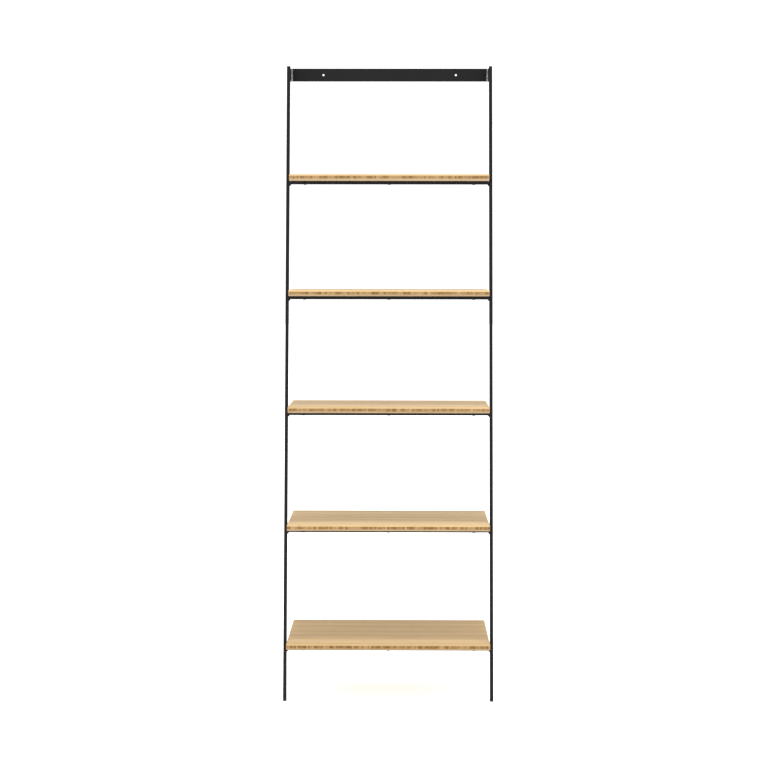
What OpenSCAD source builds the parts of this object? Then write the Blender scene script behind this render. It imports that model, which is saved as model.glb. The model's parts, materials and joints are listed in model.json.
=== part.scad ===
// Wall ladder shelf: a slim leaning steel ladder that carries five bamboo boards and is screwed to a wall.
// Millimetres, +Z up. The ladder faces -Y and the wall is at +Y. The origin is on the floor, at the middle
// of the shelf's width and depth. Tier 1 is the lowest.

/* [Ladder] */
// Outside width of the ladder
ladder_w = 600; // [500:10:800]
// Height from the floor to the top of the uprights
ladder_h = 1820; // [1780:5:1860]
// Lean of the uprights from the vertical, in degrees
lean = 8; // [7:0.5:8.5]
// Side of the square steel bar
bar = 10; // [10:1:14]
// Rounding of the bar's long edges
bar_edge_r = 1; // [0.5:0.25:2]

/* [Boards] */
// Depth of the lowest board, which reaches the wall like the others
lowest_board_d = 350; // [340:5:420]
// Height of the lowest board's top above the floor
lowest_board_h = 170; // [120:5:220]
// Height from one board's top to the next
tier_pitch = 333; // [300:1:340]
// How far a board's front edge stands ahead of its rung
board_overhang = 44; // [30:1:50]
// Gap between a board's end and the upright
board_end_gap = 1; // [0.5:0.5:4]
// Thickness of the top and bottom plies
face_ply_t = 5; // [4:0.5:6]
// Thickness of the core ply
core_ply_t = 8; // [8:0.5:12]
// Rounding of the board's edges and corners
board_edge_r = 2.5; // [1:0.5:3.5]

/* [Wall rail] */
// Height of the folded steel strip
rail_h = 38; // [30:1:50]
// Thickness of the strip
rail_t = 3; // [2:0.5:4]
// Outside radius of the strip's two folds
rail_fold_r = 5; // [4:0.5:8]
// Slope of the strip's arms, down toward the front
arm_slope = 6; // [0:0.5:10]
// Distance between the two wall screw holes
wall_hole_spacing = 392; // [300:2:460]
// Diameter of the wall screw holes
wall_hole_d = 6; // [4.5:0.5:8]

/* [Fixings] */
// Thread diameter of the screws that hold the rail's arms to the uprights
arm_screw_d = 4; // [3:0.5:5]
// Distance between the two screws of one arm
arm_screw_spacing = 16; // [12:1:20]
// Shank diameter of the screws that hold a board to its rung
board_screw_d = 4; // [3:0.5:4.5]
// Distance from the middle board screw to the outer ones
board_screw_spacing = 245; // [150:5:260]
// Diameter of the blind bores in the boards' back edges, for 6 mm wall pins
pin_bore_d = 6.4; // [5.4:0.2:6.6]
// Depth of those bores
pin_bore_depth = 60; // [40:5:80]
// Distance between the two bores of one board
pin_bore_spacing = 400; // [200:10:480]

/* [Feet] */
// Height of the foot pad below the steel
foot_h = 5; // [3:0.5:8]
// Diameter of the peg that holds the pad in the upright
foot_peg_d = 4; // [3:0.5:5]
// Length of that peg
foot_peg_l = 12; // [8:1:20]

/* [Hidden] */
$fn = 48;

tiers = 5;
board_t = 2 * face_ply_t + core_ply_t;
wall_y = lowest_board_d / 2;
inner_w = ladder_w - 2 * bar;
board_w = inner_w - 2 * board_end_gap;
// Front face of the uprights at floor level, set so that every board overhangs its rung alike.
front_y0 = -wall_y + board_overhang - (lowest_board_h - board_t) * tan(lean);
// A horizontal cut through the leaning bar is longer than the bar is thick.
bar_cut = bar / cos(lean);

weld_h = 5;          // weld fillet below a rung, down the upright
weld_w = 4;          // and along the rung
weld_l = 7;          // its length from front to back
screw_clearance = 0.5; // how much wider a clearance hole is than its screw
screw_hole_d = board_screw_d + screw_clearance;
screw_head_d = 9;
screw_head_h = 1.2;
screw_head_flare = 3; // how much narrower the head is at its face
screw_tip_d = 1;
screw_tip_l = 3;
screw_cover = 0.5;   // core left above a board screw's tip
screw_grip = face_ply_t + core_ply_t - screw_cover;
recess_w = 1;        // cross recess in a board screw's head
recess_l = 4.4;
recess_depth = 0.8;
arm_hole_d = arm_screw_d + screw_clearance;
arm_head_d = 7.6;
arm_head_h = 2.2;
arm_screw_grip = 8;  // screw length inside the upright
arm_socket_af = 2.5; // hex socket across flats
arm_socket_depth = 1.4;
arm_head_dome = 1.15; // dome radius over the head's radius
arm_setback = 1;     // the arm's front end stops short of the upright's front face
rail_z = ladder_h - rail_h / 2;
arm_h = rail_h * cos(arm_slope);
// Middle of an arm where it crosses the upright, measured along the upright from the floor.
arm_reach = wall_y - rail_fold_r - front_y0 - bar_cut / 2;
arm_mid = (rail_z - arm_reach * tan(arm_slope)) / (cos(lean) - sin(lean) * tan(arm_slope));
far = 3000;          // larger than the shelf in every direction
fine = 0.01;         // lets a cutting shape pass the face that it cuts

function board_top(n) = lowest_board_h + (n - 1) * tier_pitch;
function board_d(n) = lowest_board_d - (n - 1) * tier_pitch * tan(lean);
function board_front(n) = wall_y - board_d(n);
function rung_top(n) = board_top(n) - board_t;
// Front face of the uprights at height z.
function front_y(z) = front_y0 + z * tan(lean);
// Middle of the rung, level with the middle of the uprights at the same height.
function rung_y(n) = front_y(rung_top(n) - bar / 2) + bar_cut / 2;

// Flat outline of a rectangle with rounded corners, centred on the origin.
module rounded_rect(w, h, r) {
    square([w - 2 * r, h], center = true);
    square([w, h - 2 * r], center = true);
    for (x = [-1, 1], y = [-1, 1])
        translate([x * (w / 2 - r), y * (h / 2 - r)]) circle(r);
}

// Puts its children in the leaning frame of the uprights: their axis is Z and meets the floor at the origin.
module leaning() {
    translate([0, front_y0 + bar_cut / 2, 0]) rotate([-lean, 0, 0]) children();
}

// Places of the two arm screws, in the plane of an upright's inner face. +Z points into the upright.
module at_arm_screws(side) {
    for (k = [-1, 1])
        leaning() translate([side * inner_w / 2, 0, arm_mid + k * arm_screw_spacing / 2])
            rotate([0, side * 90, 0]) children();
}

module at_board_screws(n) {
    for (x = [-1, 0, 1]) translate([x * board_screw_spacing, rung_y(n), rung_top(n)]) children();
}

module upright(side) {
    color("#2b2b2b")
    difference() {
        intersection() {
            leaning() translate([side * (inner_w + bar) / 2, 0, -bar])
                linear_extrude(2 * bar + ladder_h / cos(lean)) rounded_rect(bar, bar, bar_edge_r);
            translate([-far / 2, -far / 2, foot_h]) cube([far, far, ladder_h - foot_h]);
        }
        foot_peg(side);
        at_arm_screws(side) translate([0, 0, -fine]) cylinder(d = arm_screw_d, h = arm_screw_grip + fine);
    }
}

// Peg of a foot pad, straight up into the foot of the upright.
module foot_peg(side) {
    translate([side * (inner_w + bar) / 2, front_y(foot_h + foot_peg_l / 2) + bar_cut / 2, foot_h - fine])
        cylinder(d = foot_peg_d, h = foot_peg_l + fine);
}

module foot_pad(side) {
    color("#191919") {
        intersection() {
            leaning() translate([side * (inner_w + bar) / 2, 0, -bar])
                linear_extrude(3 * bar) rounded_rect(bar, bar, bar_edge_r);
            translate([-far / 2, -far / 2, 0]) cube([far, far, foot_h]);
        }
        foot_peg(side);
    }
}

module rung(n) {
    color("#2b2b2b")
    difference() {
        translate([-inner_w / 2, rung_y(n), rung_top(n) - bar / 2])
            rotate([90, 0, 90]) linear_extrude(inner_w) rounded_rect(bar, bar, bar_edge_r);
        at_board_screws(n) translate([0, 0, -bar - fine]) cylinder(d = screw_hole_d, h = bar + 2 * fine);
    }
}

// Two weld fillets under the ends of a rung, each hollow-faced like a run of weld.
module rung_welds(n) {
    color("#262626")
    for (side = [-1, 1])
        translate([0, rung_y(n), rung_top(n) - bar]) mirror([side > 0 ? 1 : 0, 0, 0])
            translate([-inner_w / 2, weld_l / 2, 0]) rotate([90, 0, 0]) linear_extrude(weld_l)
                polygon([
                    [0, 0], [weld_w, 0],
                    for (a = [15 : 15 : 75]) [weld_w * (1 - sin(a)), -weld_h * (1 - cos(a))],
                    [0, -weld_h]
                ]);
}

// A whole board with rounded edges and corners, before it is divided into plies.
module board_body(n) {
    d = board_d(n);
    translate([0, board_front(n) + d / 2, board_top(n) - board_t / 2])
    intersection() {
        translate([-board_w / 2, 0, 0]) rotate([90, 0, 90]) linear_extrude(board_w)
            rounded_rect(d, board_t, board_edge_r);
        translate([0, d / 2, 0]) rotate([90, 0, 0]) linear_extrude(d)
            rounded_rect(board_w, board_t, board_edge_r);
        translate([0, 0, -board_t / 2]) linear_extrude(board_t)
            rounded_rect(board_w, d, board_edge_r);
    }
}

// The part of board n from height z0 to z1 above its underside, with its screw holes.
module ply(n, z0, z1) {
    difference() {
        intersection() {
            board_body(n);
            translate([-far / 2, -far / 2, rung_top(n) + z0]) cube([far, far, z1 - z0]);
        }
        board_screws(n);
    }
}

module board_top_ply(n) {
    color("#dcc196") ply(n, board_t - face_ply_t, board_t);
}

module board_core(n) {
    color("#b28f60")
    difference() {
        ply(n, face_ply_t, face_ply_t + core_ply_t);
        for (side = [-1, 1])
            translate([side * pin_bore_spacing / 2, wall_y + fine, board_top(n) - board_t / 2])
                rotate([90, 0, 0]) cylinder(d = pin_bore_d, h = pin_bore_depth + fine);
    }
}

module board_bottom_ply(n) {
    color("#d2b68a") ply(n, 0, face_ply_t);
}

// Three screws that rise through a rung into the underside of its board.
module board_screws(n) {
    color("#303030")
    at_board_screws(n) {
        translate([0, 0, -bar - fine]) cylinder(d = board_screw_d, h = bar + screw_grip - screw_tip_l + fine);
        translate([0, 0, screw_grip - screw_tip_l])
            cylinder(d1 = board_screw_d, d2 = screw_tip_d, h = screw_tip_l);
        translate([0, 0, -bar]) difference() {
            translate([0, 0, -screw_head_h])
                cylinder(d1 = screw_head_d - screw_head_flare, d2 = screw_head_d, h = screw_head_h);
            for (turn = [0, 90]) rotate([0, 0, turn])
                translate([-recess_l / 2, -recess_w / 2, -screw_head_h - fine])
                    cube([recess_l, recess_w, recess_depth + fine]);
        }
    }
}

// Plan of the folded strip: the rail on the wall and an arm along each upright's inner face.
module rail_plan() {
    arm_l = wall_y - front_y(0);
    difference() {
        translate([0, -arm_l / 2]) rounded_rect(inner_w, arm_l, rail_fold_r);
        translate([0, -arm_l / 2 - rail_t])
            rounded_rect(inner_w - 2 * rail_t, arm_l, rail_fold_r - rail_t);
    }
}

// Side outline of the strip: vertical on the wall, then sloping down to the upright.
module rail_side() {
    translate([-rail_fold_r, ladder_h - rail_h]) square([rail_fold_r + fine, rail_h]);
    translate([-rail_fold_r, ladder_h]) rotate(arm_slope) translate([-far, -arm_h]) square([far, arm_h]);
}

module wall_rail() {
    color("#292929")
    difference() {
        intersection() {
            translate([0, wall_y, 0]) linear_extrude(ladder_h + bar) rail_plan();
            translate([-far / 2, wall_y, 0]) rotate([90, 0, 90]) linear_extrude(far) rail_side();
            leaning() translate([-far / 2, arm_setback - bar / 2, 0]) cube([far, far, far]);
        }
        for (side = [-1, 1]) {
            translate([side * wall_hole_spacing / 2, wall_y + 1, rail_z])
                rotate([90, 0, 0]) cylinder(d = wall_hole_d, h = rail_t + 2);
            at_arm_screws(side) translate([0, 0, -rail_t - 1]) cylinder(d = arm_hole_d, h = rail_t + 2);
        }
    }
}

// Four button-head screws that clamp the rail's arms to the uprights.
module arm_screws() {
    color("#5a5a5a")
    for (side = [-1, 1]) at_arm_screws(side) {
        translate([0, 0, -rail_t - fine]) cylinder(d = arm_screw_d, h = rail_t + arm_screw_grip + fine);
        translate([0, 0, -rail_t]) difference() {
            intersection() {
                translate([0, 0, -arm_head_h]) cylinder(d = arm_head_d, h = arm_head_h);
                translate([0, 0, arm_head_d / 2 - arm_head_h]) sphere(r = arm_head_d / 2 * arm_head_dome);
            }
            translate([0, 0, -arm_head_h - fine])
                cylinder(d = arm_socket_af / cos(30), h = arm_socket_depth, $fn = 6);
        }
    }
}

upright(-1);  // left_upright
upright(1);  // right_upright
foot_pad(-1);  // left_foot_pad
foot_pad(1);  // right_foot_pad
for (n = [1 : tiers]) {
    rung(n);
    rung_welds(n);
    board_top_ply(n);
    board_core(n);
    board_bottom_ply(n);
    board_screws(n);
}
wall_rail();
arm_screws();
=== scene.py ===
import json
import math

import bmesh
import bpy
from mathutils import Matrix, Vector


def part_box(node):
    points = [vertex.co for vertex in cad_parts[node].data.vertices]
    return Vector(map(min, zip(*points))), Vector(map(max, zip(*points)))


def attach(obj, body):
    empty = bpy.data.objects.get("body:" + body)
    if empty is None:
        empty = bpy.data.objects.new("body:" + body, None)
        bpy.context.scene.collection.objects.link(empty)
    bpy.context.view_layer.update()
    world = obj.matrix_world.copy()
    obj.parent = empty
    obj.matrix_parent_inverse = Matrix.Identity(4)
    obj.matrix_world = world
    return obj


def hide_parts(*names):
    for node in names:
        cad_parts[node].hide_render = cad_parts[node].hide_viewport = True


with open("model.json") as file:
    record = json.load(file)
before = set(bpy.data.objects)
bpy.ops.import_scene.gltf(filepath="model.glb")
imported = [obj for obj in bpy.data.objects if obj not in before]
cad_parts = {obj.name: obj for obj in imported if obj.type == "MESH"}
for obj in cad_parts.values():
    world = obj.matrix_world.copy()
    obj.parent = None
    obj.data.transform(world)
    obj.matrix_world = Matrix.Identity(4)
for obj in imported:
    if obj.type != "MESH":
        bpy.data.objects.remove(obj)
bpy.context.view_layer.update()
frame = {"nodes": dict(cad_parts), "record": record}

nodes = frame["nodes"]
tiers = range(1, 6)
mm = 0.001
print("frame loaded:", len(nodes), "parts")


class Wire:
    # One socket of a node tree. Arithmetic on it adds Math nodes to that tree.
    def __init__(self, bench, socket):
        self.bench = bench
        self.socket = socket

    def __add__(self, other):
        return self.bench.maths("ADD", self, other)

    def __radd__(self, other):
        return self.bench.maths("ADD", other, self)

    def __sub__(self, other):
        return self.bench.maths("SUBTRACT", self, other)

    def __rsub__(self, other):
        return self.bench.maths("SUBTRACT", other, self)

    def __mul__(self, other):
        return self.bench.maths("MULTIPLY", self, other)

    def __rmul__(self, other):
        return self.bench.maths("MULTIPLY", other, self)

    def __truediv__(self, other):
        return self.bench.maths("DIVIDE", self, other)

    def __rtruediv__(self, other):
        return self.bench.maths("DIVIDE", other, self)

    def __lt__(self, other):
        return self.bench.maths("LESS_THAN", self, other)

    def __gt__(self, other):
        return self.bench.maths("GREATER_THAN", self, other)

    def __abs__(self):
        return self.bench.maths("ABSOLUTE", self)

    def between(self, low, high):
        # 0 at low and below, 1 at high and above, smooth in between.
        settings = {"interpolation_type": "SMOOTHSTEP"}
        return self.bench.add("ShaderNodeMapRange", settings, {0: self, 1: low, 2: high, 3: 0.0, 4: 1.0})


class Bench:
    # A node tree being wired up.
    def __init__(self, tree):
        self.tree = tree

    def add(self, kind, settings=None, sockets=None, out=0):
        node = self.tree.nodes.new(kind)
        for name, value in (settings or {}).items():
            setattr(node, name, value)
        for name, value in (sockets or {}).items():
            self.plug(node.inputs[name], value)
        if out == "all":
            return [Wire(self, socket) for socket in node.outputs]
        return Wire(self, node.outputs[out])

    def plug(self, socket, value):
        # A list joins several links in one socket.
        if isinstance(value, list):
            for wire in value:
                self.tree.links.new(wire.socket, socket)
        elif isinstance(value, Wire):
            self.tree.links.new(value.socket, socket)
        else:
            socket.default_value = value

    def maths(self, operation, *values):
        return self.add("ShaderNodeMath", {"operation": operation}, dict(enumerate(values)))

    def vectorMaths(self, operation, *values, out=0):
        return self.add("ShaderNodeVectorMath", {"operation": operation}, dict(enumerate(values)), out)

    def joined(self, x, y, z):
        return self.add("ShaderNodeCombineXYZ", None, {0: x, 1: y, 2: z})

    def parted(self, vector):
        return self.add("ShaderNodeSeparateXYZ", None, {0: vector}, "all")


class Finish(Bench):
    # A material around one Principled shader.
    def __init__(self, name):
        self.material = bpy.data.materials.new(name)
        self.material.use_nodes = True
        super().__init__(self.material.node_tree)
        self.tree.nodes.clear()
        self.surface = self.tree.nodes.new("ShaderNodeBsdfPrincipled")
        output = self.tree.nodes.new("ShaderNodeOutputMaterial")
        self.tree.links.new(self.surface.outputs[0], output.inputs["Surface"])

    def set(self, values):
        for name, value in values.items():
            self.plug(self.surface.inputs[name], value)
        return self.material

    def place(self, shift=None):
        spot = self.add("ShaderNodeTexCoord", None, None, "Object")
        return self.vectorMaths("ADD", spot, shift) if shift else spot

    def noise(self, perMetre, detail=3.0, roughness=0.55, shift=None):
        # perMetre is one number, or three where the pattern is stretched.
        scale = perMetre if isinstance(perMetre, tuple) else (perMetre,) * 3
        stretched = self.add("ShaderNodeMapping", None, {"Vector": self.place(shift), "Scale": scale})
        sockets = {"Vector": stretched, "Scale": 1.0, "Detail": detail, "Roughness": roughness}
        return self.add("ShaderNodeTexNoise", None, sockets)

    def blend(self, amount, first, second, mode="MIX"):
        settings = {"data_type": "RGBA", "blend_type": mode}
        return self.add("ShaderNodeMix", settings, {0: amount, 6: first, 7: second}, 2)

    def attribute(self, name):
        return self.add("ShaderNodeAttribute", {"attribute_name": name}, None, "Fac")

    def bump(self, height, strength, distance):
        sockets = {"Height": height, "Strength": strength, "Distance": distance}
        return self.add("ShaderNodeBump", None, sockets)


def rgba(colour, factor=1.0):
    return (*(channel * factor for channel in colour), 1.0)


steelLook = {
    "colour": (0.0045, 0.0045, 0.0047),
    "roughness": 0.40,
    "specular": 0.14,
    "sheen": 0.34,
    "sheenRoughness": 0.35,
    "grainSize": 0.5 * mm,
    "grainDepth": 0.03 * mm,
    "cloudsPerMetre": 13.0,
    "flecksPerGrain": 2.2,
    "shadeRange": (0.75, 1.35),
}


def powderCoat(name, look):
    paint = Finish(name)
    perGrain = 1 / look["grainSize"]
    orangePeel = paint.noise(perGrain, 2.0)
    cloudy = paint.noise(look["cloudsPerMetre"], 4.0)
    flecks = paint.noise(perGrain * look["flecksPerGrain"], 1.0).between(0.60, 0.75)
    shade = cloudy * 0.7 + flecks * 0.45
    dark, light = (rgba(look["colour"], factor) for factor in look["shadeRange"])
    return paint.set({
        "Base Color": paint.blend(shade, dark, light),
        "Roughness": look["roughness"] + (orangePeel - 0.5) * 0.14 + (cloudy - 0.5) * 0.12,
        "Specular IOR Level": look["specular"],
        "Sheen Weight": look["sheen"],
        "Sheen Roughness": look["sheenRoughness"],
        "Normal": paint.bump(orangePeel + flecks * 0.3, 0.5, look["grainDepth"]),
    })


bambooLook = {
    "pale": (0.500, 0.362, 0.190),
    "deep": (0.385, 0.263, 0.125),
    "streak": (0.270, 0.165, 0.072),
    # noise per metre along and across the fibres, its detail, and its share of the shade
    "broad": (4.5, 70.0, 2.0, 1.5),
    "fibres": (9.0, 420.0, 4.0, 1.5),
    "threads": (30.0, 2300.0, 2.0, 0.9),
    "shadeRange": (-0.35, 1.35),
    "knuckleGap": 0.33,
    "knuckleStrength": 0.30,
    "knuckleLine": (0.3 * mm, 1.1 * mm),
    "knuckleHalo": (1.0 * mm, 7.0 * mm),
    "bundleSize": 0.62 * mm,
    "glueLine": (0.04 * mm, 0.16 * mm),
    "roughness": 0.44,
    "lacquer": 0.06,
    "lacquerRoughness": 0.3,
    "reflection": 0.02,
    "grainDepth": 0.035 * mm,
}
# Bottom ply colours: the top ply's bamboo painted darker, as painted shade for the light that falls from
# above.
paintedShadeUnderLook = {**bambooLook, "pale": (0.375, 0.282, 0.172), "deep": (0.290, 0.207, 0.115)}
coreLook = {
    **bambooLook,
    "pale": (0.345, 0.220, 0.102),
    "deep": (0.140, 0.076, 0.028),
    "streak": (0.095, 0.046, 0.016),
    "lacquer": 0.04,
}


def bamboo(name, look, alongX):
    # The fibres run along X in the face plies and along Y in the core.
    wood = Finish(name)
    tone, shift, endGrain = (wood.attribute(label) for label in ("tone", "shift", "endGrain"))
    seamGap = wood.maths("MINIMUM", wood.attribute("gapLow"), wood.attribute("gapHigh"))
    moved = wood.joined(shift * 7.0, shift * 5.0, shift * 3.0)

    def drawn(label, roughness=0.6):
        along, across, detail, share = look[label]
        scale = (along, across, across) if alongX else (across, along, across)
        pattern = wood.noise(scale, detail, roughness, moved)
        return pattern, (pattern - 0.5) * share

    broad, broadShade = drawn("broad", 0.55)
    fibres, fibreShade = drawn("fibres")
    threads, threadShade = drawn("threads")
    shade = tone + broadShade + fibreShade + threadShade
    colour = wood.blend(shade.between(*look["shadeRange"]), rgba(look["pale"]), rgba(look["deep"]))
    colour = wood.blend(fibres.between(0.58, 0.85) * 0.4, colour, rgba(look["streak"]))

    # Knuckles: a fine line right across a strip, in a soft band.
    run = wood.parted(wood.place())[0 if alongX else 1]
    turn = wood.maths("FRACT", (run + shift * 3.0 + (broad - 0.5) * 0.004) / look["knuckleGap"])
    away = abs(turn - 0.5) * look["knuckleGap"]
    line = 1 - away.between(*look["knuckleLine"])
    halo = 1 - away.between(*look["knuckleHalo"])
    knuckle = (line * 0.7 + halo * 0.3) * (1 - endGrain) * look["knuckleStrength"]
    colour = wood.blend(knuckle, colour, rgba(look["streak"]))

    # Cut fibre bundles show as dots where a strip ends.
    sockets = {"Vector": wood.place(), "Scale": 1 / look["bundleSize"], "Randomness": 0.9}
    bundles = wood.add("ShaderNodeTexVoronoi", {"feature": "F1"}, sockets)
    dots = (1 - bundles.between(0.18, 0.45)) * endGrain
    colour = wood.blend(dots * 0.45, colour, rgba(look["streak"]))
    glue = 1 - seamGap.between(*look["glueLine"])
    colour = wood.blend(glue * 0.5, colour, rgba(look["streak"], 0.7))

    height = fibres * 0.4 + threads * 0.5 - dots * 0.7 - glue * 0.6
    return wood.set({
        "Base Color": colour,
        "Roughness": look["roughness"] + (threads - 0.5) * 0.22 + endGrain * 0.14,
        "Coat Weight": look["lacquer"],
        "Coat Roughness": look["lacquerRoughness"],
        "Specular IOR Level": look["reflection"],
        "Normal": wood.bump(height, 0.35, look["grainDepth"]),
    })


def footRubber(name):
    rubber = Finish(name)
    grain = rubber.noise(1700.0, 3.0)
    dust = rubber.noise(120.0, 4.0).between(0.45, 0.8)
    return rubber.set({
        "Base Color": rubber.blend(dust * 0.6, rgba((0.006, 0.006, 0.006)), rgba((0.018, 0.0175, 0.017))),
        "Roughness": 0.74 + (grain - 0.5) * 0.2,
        "Specular IOR Level": 0.25,
        "Normal": rubber.bump(grain, 0.5, 0.05 * mm),
    })


def blackZinc(name, dark, light):
    plate = Finish(name)
    rubbed = plate.noise(650.0, 3.0)
    brushed = plate.noise((2600.0, 260.0, 2600.0), 2.0)
    return plate.set({
        "Base Color": plate.blend(rubbed, rgba(dark), rgba(light)),
        "Metallic": 0.6,
        "Roughness": 0.34 + (brushed - 0.5) * 0.2,
        "Normal": plate.bump(brushed, 0.3, 0.015 * mm),
    })


steelPaint = powderCoat("powderCoat", steelLook)
weldPaint = powderCoat("coatedWeld", {**steelLook, "roughness": 0.36, "grainSize": 0.4 * mm})
faceBamboo = bamboo("faceBamboo", bambooLook, True)
# The bottom ply's bamboo carries painted shade: its colours are darker than the top ply's.
underBamboo = bamboo("underBamboo", paintedShadeUnderLook, True)
coreBamboo = bamboo("coreBamboo", coreLook, False)
padRubber = footRubber("padRubber")
screwZinc = blackZinc("screwZinc", (0.020, 0.020, 0.022), (0.050, 0.050, 0.053))
armScrewZinc = blackZinc("armScrewZinc", (0.060, 0.060, 0.063), (0.140, 0.140, 0.145))
print("finishes mixed")


# The steel bars and the rail keep their exact shape and get the paint.
for name, part in nodes.items():
    if name in ("left_upright", "right_upright", "wall_rail") or name[:-1] == "rung_":
        for materialSlot in part.material_slots:
            materialSlot.material = steelPaint


def newShapeTree(name, inputs):
    tree = bpy.data.node_groups.new(name, "GeometryNodeTree")
    tree.interface.new_socket("Geometry", in_out="INPUT", socket_type="NodeSocketGeometry")
    for label, kind in inputs.items():
        tree.interface.new_socket(label, in_out="INPUT", socket_type="NodeSocket" + kind)
    tree.interface.new_socket("Geometry", in_out="OUTPUT", socket_type="NodeSocketGeometry")
    shape = Bench(tree)
    wires = shape.add("NodeGroupInput", None, None, "all")
    return shape, {wire.socket.name: wire for wire in wires}


def closeShapeTree(shape, geometry, material):
    real = shape.add("GeometryNodeRealizeInstances", None, {"Geometry": geometry})
    painted = shape.add("GeometryNodeSetMaterial", None, {"Geometry": real, "Material": material})
    shape.plug(shape.tree.nodes.new("NodeGroupOutput").inputs[0], painted)
    return shape.tree


def grow(name, shapeTree, values, start=None):
    # Runs a shape tree on a start mesh and gives the result back as a plain mesh.
    holder = bpy.data.objects.new(name, start or bpy.data.meshes.new(name))
    bpy.context.scene.collection.objects.link(holder)
    modifier = holder.modifiers.new("grow", "NODES")
    modifier.node_group = shapeTree
    for item in shapeTree.interface.items_tree:
        if item.in_out == "INPUT" and item.name in values:
            modifier[item.identifier] = values[item.name]
    graph = bpy.context.evaluated_depsgraph_get()
    grown = bpy.data.meshes.new_from_object(holder.evaluated_get(graph), depsgraph=graph)
    holder.modifiers.remove(modifier)
    bpy.data.objects.remove(holder)
    return grown


def addPiece(name, mesh, slotName, *replaced):
    mesh.name = name
    piece = bpy.data.objects.new(name, mesh)
    bpy.context.scene.collection.objects.link(piece)
    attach(piece, "root")
    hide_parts(*replaced)
    print("made", name, "with", len(mesh.polygons), "faces")
    return piece


def meshFrom(name, build):
    work = bmesh.new()
    build(work)
    bmesh.ops.recalc_face_normals(work, faces=work.faces)
    mesh = bpy.data.meshes.new(name)
    work.to_mesh(mesh)
    work.free()
    return mesh


def stackRings(work, rings):
    # Joins rings of equal length into a closed shape. The first and last ring are capped.
    rows = [[work.verts.new(point) for point in ring] for ring in rings]
    count = len(rows[0])
    for lower, upper in zip(rows, rows[1:]):
        for i in range(count):
            j = (i + 1) % count
            work.faces.new((lower[i], lower[j], upper[j], upper[i]))
    work.faces.new(rows[0][::-1])
    work.faces.new(rows[-1])


# Boards: every ply is laid from glued strips and rounded as part of one board.
boardShape = {
    "edgeRadius": 2.5 * mm,
    "faceStrip": 20.5 * mm,
    "faceStripVary": 0.12,
    "coreStrip": 5.6 * mm,
    "coreStripVary": 0.40,
    "faceTones": (0.55, 0.0, 0.0, 0.0, 0.0),
    "coreTones": (0.15, 0.0, 0.0, 0.0, 0.0),
    "boredStrip": 12 * mm,
    "boredLength": 75 * mm,
    "boreSides": 32,
    # seeds in steps for each board, and what the core and the bottom ply add
    "seedStep": 100,
    "coreSeed": 30,
    "bottomSeed": 60,
}


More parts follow.
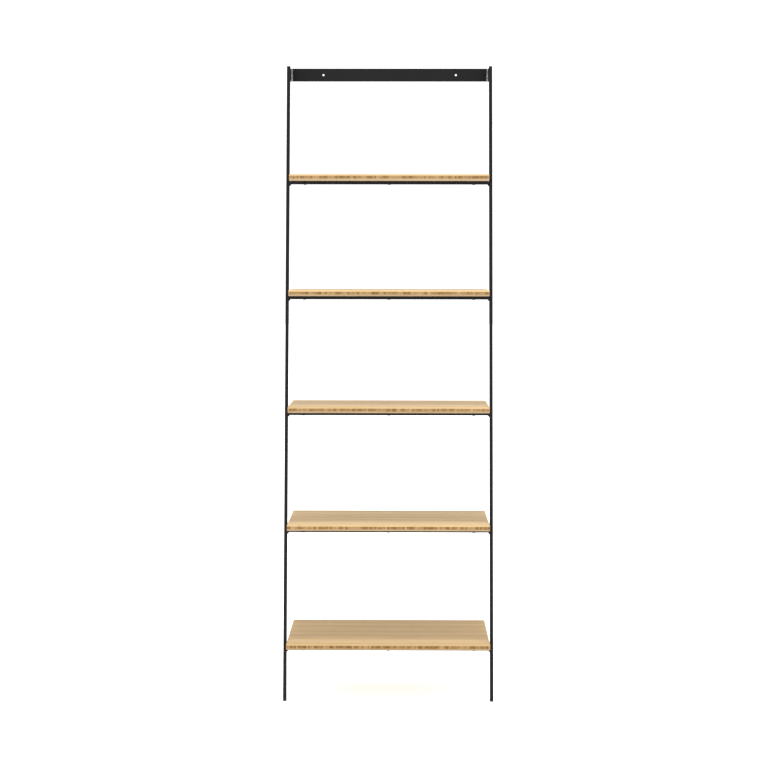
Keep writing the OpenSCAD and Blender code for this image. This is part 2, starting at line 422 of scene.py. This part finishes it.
def buildStripTree():
    shape, given = newShapeTree("layStrips", {
        "Run Low": "Float", "Run High": "Float", "Start": "Float", "End": "Float", "Strips": "Int",
        "Vary": "Float", "Tone": "Float", "Low": "Float", "High": "Float",
        "Board Half": "Vector", "Board Centre": "Vector", "Radius": "Float",
        "Run Cuts": "Int", "Cross Cuts": "Int", "Deep Cuts": "Int", "Along X": "Float",
        "Seed": "Int", "Material": "Material",
    })

    def stored(geometry, label, value, domain="POINT", kind="FLOAT"):
        settings = {"data_type": kind, "domain": domain}
        return shape.add("GeometryNodeStoreNamedAttribute", settings,
                         {"Geometry": geometry, "Name": label, "Value": value})

    def named(label, kind="FLOAT"):
        return shape.add("GeometryNodeInputNamedAttribute", {"data_type": kind}, {"Name": label})

    def random(number, low, high, seed):
        return shape.add("FunctionNodeRandomValue", {"data_type": "FLOAT"},
                         {2: low, 3: high, "ID": number, "Seed": seed}, 1)

    # One strip as a block from -1 to 1 each way.
    block = shape.add("GeometryNodeMeshCube", None, {
        "Size": (2.0, 2.0, 2.0), "Vertices X": given["Run Cuts"],
        "Vertices Y": given["Cross Cuts"], "Vertices Z": given["Deep Cuts"],
    })
    block = stored(block, "unit", shape.add("GeometryNodeInputPosition"), "POINT", "FLOAT_VECTOR")
    facing = shape.parted(shape.add("GeometryNodeInputNormal"))
    block = stored(block, "endGrain", abs(facing[0]) > 0.9, "FACE")

    # One point for each strip, with the places of its two seams. Inner seams wander a little.
    row = shape.add("GeometryNodeMeshLine", None, {"Count": given["Strips"], "Offset": (0.0, 0.0, 0.0)})
    index = shape.add("GeometryNodeInputIndex")

    def seam(number):
        inner = (number > 0.5) * (number < given["Strips"] - 0.5)
        wander = random(number, -1.0, 1.0, given["Seed"]) * inner * given["Vary"]
        return given["Start"] + (number + wander) / given["Strips"] * (given["End"] - given["Start"])

    row = stored(row, "seamLow", seam(index + 0.0))
    row = stored(row, "seamHigh", seam(index + 1.0))
    row = stored(row, "tone", random(index, 0.0, 1.0, given["Seed"] + 1000.0) + given["Tone"])
    row = stored(row, "shift", random(index, 0.0, 1.0, given["Seed"] + 2000.0))
    strips = shape.add("GeometryNodeInstanceOnPoints", None, {"Points": row, "Instance": block})
    strips = shape.add("GeometryNodeRealizeInstances", None, {"Geometry": strips})

    unit = shape.parted(named("unit", "FLOAT_VECTOR"))
    seamLow, seamHigh = named("seamLow"), named("seamHigh")
    radius = given["Radius"]

    def spread(value, cuts, half, bend):
        # Even cuts become steps of equal angle round an edge of radius bend, and leave the middle plain.
        tiny = 0.0001
        step = (abs(value) * (cuts - 1.0) * 0.5 - 0.5 + tiny) / (cuts * 0.5 - 1.0 + tiny)
        angle = shape.maths("MAXIMUM", step, 0.0) * (math.pi / 4)
        return shape.maths("SIGN", value) * (half - bend + shape.maths("TANGENT", angle) * bend)

    runHalf = (given["Run High"] - given["Run Low"]) * 0.5
    run = given["Run Low"] + runHalf + spread(unit[0], given["Run Cuts"], runHalf, radius)
    width = seamHigh - seamLow
    bend = shape.maths("MINIMUM", radius, width * 0.45)
    side = (seamLow + seamHigh) * 0.5 + spread(unit[1], given["Cross Cuts"], width * 0.5, bend)
    halfThick = (given["High"] - given["Low"]) * 0.5
    deep = given["Low"] + halfThick + shape.maths("TANGENT", unit[2] * (math.pi / 4)) * halfThick
    alongX = given["Along X"]
    flat = shape.joined(run * alongX + side * (1 - alongX), side * alongX + run * (1 - alongX), deep)

    # What lies near the board's edges and corners is drawn in onto one rounded outline.
    inner = shape.vectorMaths("SUBTRACT", given["Board Half"], shape.joined(radius, radius, radius))
    lowest = shape.vectorMaths("MULTIPLY", inner, (-1.0, -1.0, -1.0))
    held = shape.vectorMaths("MINIMUM", inner, shape.vectorMaths("MAXIMUM", flat, lowest))
    past = shape.vectorMaths("SUBTRACT", flat, held)
    reach = shape.parted(shape.vectorMaths("ABSOLUTE", past))
    most = shape.maths("MAXIMUM", shape.maths("MAXIMUM", reach[0], reach[1]), reach[2])
    length = shape.maths("MAXIMUM", shape.vectorMaths("LENGTH", past, out="Value"), 1e-7)
    share = most / length
    drawnIn = shape.vectorMaths("MULTIPLY", past, shape.joined(share, share, share))
    placed = shape.vectorMaths("ADD", shape.vectorMaths("ADD", held, drawnIn), given["Board Centre"])
    strips = shape.add("GeometryNodeSetPosition", None, {"Geometry": strips, "Position": placed})

    # Distances to the two glued seams. The board's own edges have none.
    halfAcross = shape.parted(given["Board Half"])
    edge = halfAcross[1] * alongX + halfAcross[0] * (1 - alongX) - 0.00001
    strips = stored(strips, "gapLow", side - seamLow + (seamLow < 0 - edge))
    strips = stored(strips, "gapHigh", seamHigh - side + (seamHigh > edge))

    for label in ("unit", "seamLow", "seamHigh"):
        strips = shape.add("GeometryNodeRemoveAttribute", None, {"Geometry": strips, "Name": label})
    laid = shape.add("GeometryNodeSetShadeSmooth", None, {"Geometry": strips, "Shade Smooth": False})
    whole = shape.add("GeometryNodeJoinGeometry", None, {0: [given["Geometry"], laid]})
    return closeShapeTree(shape, whole, given["Material"])


stripTree = buildStripTree()
mounts = {mount["name"]: mount for mount in frame["record"]["mounts"]}


def pinBore(tier):
    # How far each bore is from the board's middle, its radius and its depth.
    bore = mounts[f"board_{tier}_right_pin_bore"]
    return bore["pos_m"][0], bore["dims"]["r_mm"] * mm, bore["dims"]["length_mm"] * mm


def boardBox(tier):
    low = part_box(f"board_{tier}_bottom_ply")[0]
    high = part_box(f"board_{tier}_top_ply")[1]
    return (low + high) / 2, (high - low) / 2


def layRuns(name, node, tier, alongX, runs, vary, tone, deepCuts, finish, seed, start=None):
    # runs lists (start, end, strips, run cuts, cross cuts, length left off at the high end),
    # measured across the board from its middle.
    centre, half = boardBox(tier)
    low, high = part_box(node)
    reach = half.x if alongX else half.y
    mesh = start
    for number, (first, last, strips, runCuts, crossCuts, leftOff) in enumerate(runs):
        mesh = grow(name, stripTree, {
            "Run Low": -reach, "Run High": reach - leftOff, "Start": first, "End": last, "Strips": strips,
            "Vary": vary, "Tone": tone, "Low": low.z - centre.z, "High": high.z - centre.z,
            "Board Half": tuple(half), "Board Centre": tuple(centre), "Radius": boardShape["edgeRadius"],
            "Run Cuts": runCuts, "Cross Cuts": crossCuts, "Deep Cuts": deepCuts,
            "Along X": 1.0 if alongX else 0.0, "Seed": seed + number, "Material": finish,
        }, mesh)
    return mesh


def boredStrips(tier):
    # The two blocks at the core's back edge that the wall pins go into, each with its blind bore.
    centre, half = boardBox(tier)
    low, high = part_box(f"board_{tier}_core")
    look = boardShape
    offset, radius, depth = pinBore(tier)
    halfWide, halfHigh = look["boredStrip"] / 2, (high.z - low.z) / 2

    def build(work):
        for side in (-1, 1):
            outer = []
            inner = []
            for i in range(look["boreSides"]):
                angle = 2 * math.pi * i / look["boreSides"]
                x, z = math.cos(angle), math.sin(angle)
                reach = min(halfWide / max(abs(x), 1e-6), halfHigh / max(abs(z), 1e-6))
                spot = Vector((x * reach, 0, z * reach))
                corner = Vector((math.copysign(halfWide, x), 0, math.copysign(halfHigh, z)))
                if (spot - corner).length < halfWide * 0.1:
                    spot = corner
                outer.append(spot)
                inner.append(Vector((x, 0, z)) * radius)
            middle = Vector((centre.x + side * offset, 0, (low.z + high.z) / 2))
            front = high.y - look["boredLength"]
            stops = ((outer, front), (outer, high.y), (inner, high.y), (inner, high.y - depth))
            stackRings(work, [[p + middle + Vector((0, y, 0)) for p in ring] for ring, y in stops])

    mesh = meshFrom("boredStrips", build)
    tones = {"tone": (0.35, 0.7), "shift": (0.2, 0.6)}
    for label in ("tone", "shift", "endGrain"):
        layer = mesh.attributes.new(label, "FLOAT", "FACE")
        for face, cell in zip(mesh.polygons, layer.data):
            right = face.center.x > centre.x
            cell.value = abs(face.normal.y) > 0.9 if label == "endGrain" else tones[label][right]
    for label, way in (("gapLow", 1), ("gapHigh", -1)):
        layer = mesh.attributes.new(label, "FLOAT", "POINT")
        for vertex, cell in zip(mesh.vertices, layer.data):
            cell.value = halfWide + way * (abs(vertex.co.x - centre.x) - offset)
    return mesh


def facePly(tier, node, finish, seed):
    low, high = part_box(node)
    edge = (high.y - low.y) / 2
    strip = boardShape["faceStrip"]
    inner = round(2 * edge / strip) - 2
    runs = [
        (-edge, strip - edge, 1, 8, 8, 0),
        (strip - edge, edge - strip, inner, 8, 2, 0),
        (edge - strip, edge, 1, 8, 8, 0),
    ]
    vary, tone = boardShape["faceStripVary"], boardShape["faceTones"][tier - 1]
    return layRuns("facePly", node, tier, True, runs, vary, tone, 7, finish, seed)


def corePly(tier, node, seed):
    low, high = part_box(node)
    edge = (high.x - low.x) / 2
    strip = boardShape["coreStrip"]
    bore, gap = pinBore(tier)[0], boardShape["boredStrip"] / 2
    spans = [(strip - edge, -bore - gap), (gap - bore, bore - gap), (bore + gap, edge - strip)]
    runs = [(-edge, strip - edge, 1, 8, 8, 0), (edge - strip, edge, 1, 8, 8, 0)]
    runs += [(first, last, round((last - first) / strip), 2, 2, 0) for first, last in spans]
    runs += [(x - gap, x + gap, 2, 2, 2, boardShape["boredLength"]) for x in (-bore, bore)]
    start = boredStrips(tier)
    vary, tone = boardShape["coreStripVary"], boardShape["coreTones"][tier - 1]
    return layRuns("corePly", node, tier, False, runs, vary, tone, 2, coreBamboo, seed, start)


for tier in tiers:
    top, core, bottom = (f"board_{tier}_{ply}" for ply in ("top_ply", "core", "bottom_ply"))
    seed = boardShape["seedStep"] * tier
    addPiece(f"board{tier}TopPly", facePly(tier, top, faceBamboo, seed), "bamboo_face", top)
    coreMesh = corePly(tier, core, seed + boardShape["coreSeed"])
    addPiece(f"board{tier}Core", coreMesh, "bamboo_core", core)
    # The bottom ply gets the darker bamboo with painted shade.
    bottomMesh = facePly(tier, bottom, underBamboo, seed + boardShape["bottomSeed"])
    addPiece(f"board{tier}BottomPly", bottomMesh, "bamboo_face", bottom)


# Welds: a row of overlapping beads under each end of a rung.
weldShape = {
    "beads": 6,
    "pitch": 1.12 * mm,
    "size": (3.9 * mm, 1.25 * mm, 4.6 * mm),
    "jitter": 0.09,
    "seed": 11,
}


def buildWeldTree():
    shape, given = newShapeTree("runWeld", {
        "Beads": "Int", "Pitch": "Float", "Size": "Vector", "Jitter": "Float",
        "Seed": "Int", "Material": "Material",
    })
    bead = shape.add("GeometryNodeMeshUVSphere", None, {"Segments": 20, "Rings": 12, "Radius": 1.0})
    bead = shape.add("GeometryNodeTransform", None, {"Geometry": bead, "Scale": given["Size"]})
    length = given["Pitch"] * (given["Beads"] - 1.0)
    row = shape.add("GeometryNodeMeshLine", None, {
        "Count": given["Beads"],
        "Start Location": shape.joined(0.0, length * -0.5, 0.0),
        "Offset": shape.joined(0.0, given["Pitch"], 0.0),
    })
    ends = shape.add("GeometryNodeInstanceOnPoints", None, {"Points": given["Geometry"], "Instance": row})
    ends = shape.add("GeometryNodeRealizeInstances", None, {"Geometry": ends})
    number = shape.add("GeometryNodeInputIndex")
    loss = shape.joined(given["Jitter"], 0.0, given["Jitter"])
    low = shape.vectorMaths("SUBTRACT", (1.0, 1.0, 1.0), loss)
    scale = shape.add("FunctionNodeRandomValue", {"data_type": "FLOAT_VECTOR"},
                      {0: low, 1: (1.0, 1.0, 1.0), "ID": number, "Seed": given["Seed"]})
    beads = shape.add("GeometryNodeInstanceOnPoints", None,
                      {"Points": ends, "Instance": bead, "Scale": scale})
    beads = shape.add("GeometryNodeRealizeInstances", None, {"Geometry": beads})
    smooth = shape.add("GeometryNodeSetShadeSmooth", None, {"Geometry": beads, "Shade Smooth": True})
    return closeShapeTree(shape, smooth, given["Material"])


weldTree = buildWeldTree()


def pointMesh(name, points):
    mesh = bpy.data.meshes.new(name)
    mesh.from_pydata([tuple(point) for point in points], [], [])
    return mesh


for tier in tiers:
    low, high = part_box(f"rung_{tier}")
    middle = (low.y + high.y) / 2
    ends = pointMesh("weldEnds", [(x, middle, low.z) for x in (low.x, high.x)])
    look = weldShape
    beads = grow("weld", weldTree, {
        "Beads": look["beads"], "Pitch": look["pitch"], "Size": look["size"], "Jitter": look["jitter"],
        "Seed": look["seed"] + tier, "Material": weldPaint,
    }, ends)
    addPiece(f"rungWelds{tier}", beads, "black_powder_coat", f"rung_welds_{tier}")


# Screws: a turned head with its recess cut out, put at every screw's place.
boardScrew = {
    "radius": 4.5 * mm,
    "height": 1.2 * mm,
    "faceShare": 0.62,
    "crossLength": 4.4 * mm,
    "crossWidth": 1.0 * mm,
    "crossDepth": 0.8 * mm,
    "spacing": 245 * mm,
}
armScrew = {
    "radius": 3.8 * mm,
    "height": 2.2 * mm,
    "faceShare": 0.52,
    "socketAcross": 2.5 * mm,
    "socketDepth": 1.4 * mm,
}


def buildScrewTree():
    # The head stands on Z = 0 and rises along +Z. Each start point's "turn" attribute aims it.
    shape, given = newShapeTree("placeScrews", {
        "Radius": "Float", "Height": "Float", "Face Share": "Float", "Cross": "Bool",
        "Recess Long": "Float", "Recess Wide": "Float", "Recess Deep": "Float", "Material": "Material",
    })
    head = shape.add("GeometryNodeMeshCylinder", None, {
        "Vertices": 40, "Side Segments": 7, "Fill Segments": 1, "Radius": 1.0, "Depth": 1.0,
    })
    spot = shape.parted(shape.add("GeometryNodeInputPosition"))
    rise = spot[2] + 0.5
    # A short straight rim, then a quarter ellipse in to the flat face.
    rim = 0.14
    bend = shape.maths("MAXIMUM", (rise - rim) / (1 - rim), 0.0)
    dome = 1 - shape.maths("SQRT", shape.maths("MAXIMUM", 1 - bend * bend, 0.0))
    reach = (1 - dome * (1 - given["Face Share"])) * given["Radius"]
    moved = shape.joined(spot[0] * reach, spot[1] * reach, rise * given["Height"])
    head = shape.add("GeometryNodeSetPosition", None, {"Geometry": head, "Position": moved})
    face = shape.joined(0.0, 0.0, given["Height"])

    def bar(turn):
        size = shape.joined(given["Recess Long"], given["Recess Wide"], given["Recess Deep"] * 2.0)
        made = shape.add("GeometryNodeMeshCube", None, {"Size": size})
        return shape.add("GeometryNodeTransform", None,
                         {"Geometry": made, "Translation": face, "Rotation": (0.0, 0.0, turn)})

    hexagon = shape.add("GeometryNodeMeshCylinder", None, {
        "Vertices": 6, "Radius": given["Recess Long"], "Depth": given["Recess Deep"] * 2.0,
    })
    hexagon = shape.add("GeometryNodeTransform", None, {"Geometry": hexagon, "Translation": face})
    cross = shape.add("GeometryNodeMeshBoolean", {"operation": "UNION", "solver": "EXACT"},
                      {1: [bar(0.0), bar(math.pi / 2)]})
    cutter = shape.add("GeometryNodeSwitch", {"input_type": "GEOMETRY"},
                       {"Switch": given["Cross"], "False": hexagon, "True": cross})
    cut = shape.add("GeometryNodeMeshBoolean", {"operation": "DIFFERENCE", "solver": "EXACT"},
                    {0: head, 1: cutter})
    turn = shape.add("GeometryNodeInputNamedAttribute", {"data_type": "FLOAT_VECTOR"}, {"Name": "turn"})
    screws = shape.add("GeometryNodeInstanceOnPoints", None,
                       {"Points": given["Geometry"], "Instance": cut, "Rotation": turn})
    screws = shape.add("GeometryNodeRealizeInstances", None, {"Geometry": screws})
    screws = shape.add("GeometryNodeSetShadeSmooth", None, {"Geometry": screws, "Shade Smooth": False})
    return closeShapeTree(shape, screws, given["Material"])


screwTree = buildScrewTree()


def growScrews(name, look, places, turns, recess, cross, finish):
    start = pointMesh(name, places)
    layer = start.attributes.new("turn", "FLOAT_VECTOR", "POINT")
    for cell, turn in zip(layer.data, turns):
        cell.vector = turn
    long, wide, deep = recess
    return grow(name, screwTree, {
        "Radius": look["radius"], "Height": look["height"], "Face Share": look["faceShare"], "Cross": cross,
        "Recess Long": long, "Recess Wide": wide, "Recess Deep": deep, "Material": finish,
    }, start)


for tier in tiers:
    low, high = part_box(f"rung_{tier}")
    look = boardScrew
    places = [((low.x + high.x) / 2 + k * look["spacing"], (low.y + high.y) / 2, low.z) for k in (-1, 0, 1)]
    turns = [(math.pi, 0.0, 0.35 + 1.9 * tier + 0.8 * k) for k in range(3)]
    recess = (look["crossLength"], look["crossWidth"], look["crossDepth"])
    heads = growScrews("boardScrews", look, places, turns, recess, True, screwZinc)
    addPiece(f"boardScrews{tier}", heads, "black_screw", f"board_screws_{tier}")


def armScrewPlaces():
    # Seats of the four heads, on the arms' inner faces, read from the exact screws.
    corners = [vertex.co for vertex in nodes["arm_screws"].data.vertices]
    seat = min(abs(corner.x) for corner in corners) + armScrew["height"]
    places = []
    for side in (-1, 1):
        heads = [c for c in corners if c.x * side > 0 and abs(c.x) < seat + 0.1 * mm]
        cut = (min(c.z for c in heads) + max(c.z for c in heads)) / 2
        for group in ([c for c in heads if c.z < cut], [c for c in heads if c.z >= cut]):
            y, z = ((min(c[k] for c in group) + max(c[k] for c in group)) / 2 for k in (1, 2))
            places.append(Vector((side * seat, y, z)))
    return places


places = armScrewPlaces()
turns = [(0.0, math.copysign(math.pi / 2, -place.x), 0.0) for place in places]
socket = (armScrew["socketAcross"] / math.sqrt(3), 0.0, armScrew["socketDepth"])
heads = growScrews("armScrews", armScrew, places, turns, socket, False, armScrewZinc)
addPiece("armScrews", heads, "black_screw", "arm_screws")


# Foot pads: a leaning square stack of rings with two grooves.
footShape = {
    "lean": math.radians(8),
    "cornerRadius": 1.1 * mm,
    "cornerSteps": 5,
    # height and inset of each ring, in millimetres
    "profile": ((0.0, 0.9), (0.18, 0.42), (0.55, 0.12), (1.0, 0.0), (2.7, 0.0), (2.85, 0.3),
                (3.15, 0.3), (3.3, 0.0), (3.75, 0.0), (3.9, 0.3), (4.2, 0.3), (4.35, 0.0), (5.0, 0.0)),
}


def buildFoot(side):
    low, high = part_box(f"{side}_foot_pad")
    bar = high.x - low.x
    deep = bar / math.cos(footShape["lean"])
    centre = Vector(((low.x + high.x) / 2, low.y + deep / 2, low.z))
    radius = footShape["cornerRadius"]
    steps = footShape["cornerSteps"]

    def build(work):
        rings = []
        for height, inset in footShape["profile"]:
            shift = height * mm * math.tan(footShape["lean"])
            halfX, halfY = bar / 2 - inset * mm, deep / 2 - inset * mm
            ring = []
            for quarter, (signX, signY) in enumerate(((1, 1), (-1, 1), (-1, -1), (1, -1))):
                for k in range(steps + 1):
                    angle = (quarter + k / steps) * math.pi / 2
                    x = signX * (halfX - radius) + math.cos(angle) * radius
                    y = signY * (halfY - radius) + math.sin(angle) * radius
                    ring.append(centre + Vector((x, y + shift, height * mm)))
            rings.append(ring)
        stackRings(work, rings)

    mesh = meshFrom("footPad", build)
    mesh.materials.append(padRubber)
    return mesh


for side in ("left", "right"):
    addPiece(f"{side}FootPad", buildFoot(side), "foot_rubber", f"{side}_foot_pad")


# Place in metres, angles in radians, lens and sensor in millimetres.
cameraSetup = {
    "place": (0.0323, -5.216, 1.2551),
    "turn": -0.0089,
    "tip": 0.0687,
    "roll": 0.0012,
    "lens": 84.52,
    "sensor": 36.0,
    "farthest": 100.0,
}


def addCamera(setup):
    turn, tip, roll = setup["turn"], setup["tip"], setup["roll"]
    ahead = Vector((math.sin(turn) * math.cos(tip), math.cos(turn) * math.cos(tip), -math.sin(tip)))
    level = Vector((math.cos(turn), -math.sin(turn), 0.0))
    above = level.cross(ahead)
    right = level * math.cos(roll) + above * math.sin(roll)
    up = above * math.cos(roll) - level * math.sin(roll)
    camera = bpy.data.objects.new("camera", bpy.data.cameras.new("camera"))
    camera.data.sensor_width = setup["sensor"]
    camera.data.lens = setup["lens"]
    camera.data.clip_end = setup["farthest"]
    turned = Matrix((right, up, -ahead)).transposed().to_4x4()
    camera.matrix_world = Matrix.Translation(setup["place"]) @ turned
    bpy.context.scene.collection.objects.link(camera)
    bpy.context.scene.camera = camera


studio = {
    "skyStrength": 1.3,
    # for each lamp a strength, then in degrees its spread, its tip toward the front and its turn
    "lamps": {
        "overhead": (1.5, 8.0, 5.0, 0.0),
        "leftSide": (1.2, 30.0, 80.0, -60.0),
        "rightSide": (1.2, 30.0, 80.0, 60.0),
    },
    "floorColour": (0.93, 0.93, 0.93),
    "floorGlow": 0.32,
    "floorHalf": 30.0,
    "floorRoughness": 0.9,
    "floorReflection": 0.2,
}


def addStudio(look):
    sky = bpy.data.worlds.new("studioSky")
    sky.use_nodes = True
    background = sky.node_tree.nodes["Background"]
    background.inputs["Color"].default_value = (1.0, 1.0, 1.0, 1.0)
    background.inputs["Strength"].default_value = look["skyStrength"]
    bpy.context.scene.world = sky

    for name, (strength, spread, tip, turn) in look["lamps"].items():
        lamp = bpy.data.objects.new(name, bpy.data.lights.new(name, "SUN"))
        lamp.data.energy = strength
        lamp.data.angle = math.radians(spread)
        lamp.rotation_euler = (math.radians(tip), 0.0, math.radians(turn))
        lamp.location = (0.0, -0.5, 4.0)
        bpy.context.scene.collection.objects.link(lamp)

    half = look["floorHalf"]
    floorMesh = bpy.data.meshes.new("studioFloor")
    corners = [(-half, -half, 0.0), (half, -half, 0.0), (half, half, 0.0), (-half, half, 0.0)]
    floorMesh.from_pydata(corners, [], [(0, 1, 2, 3)])
    floor = bpy.data.objects.new("studioFloor", floorMesh)
    paint = Finish("floorPaint")
    pale = look["floorColour"]
    floorMesh.materials.append(paint.set({
        "Base Color": paint.blend(paint.noise(3.0) * 0.5, rgba(pale), rgba(pale, 0.985)),
        "Roughness": look["floorRoughness"],
        "Specular IOR Level": look["floorReflection"],
        "Emission Color": (1.0, 1.0, 1.0, 1.0),
        "Emission Strength": look["floorGlow"],
    }))
    bpy.context.scene.collection.objects.link(floor)


addCamera(cameraSetup)
addStudio(studio)
bpy.context.scene.view_settings.view_transform = "Standard"
print("studio ready")
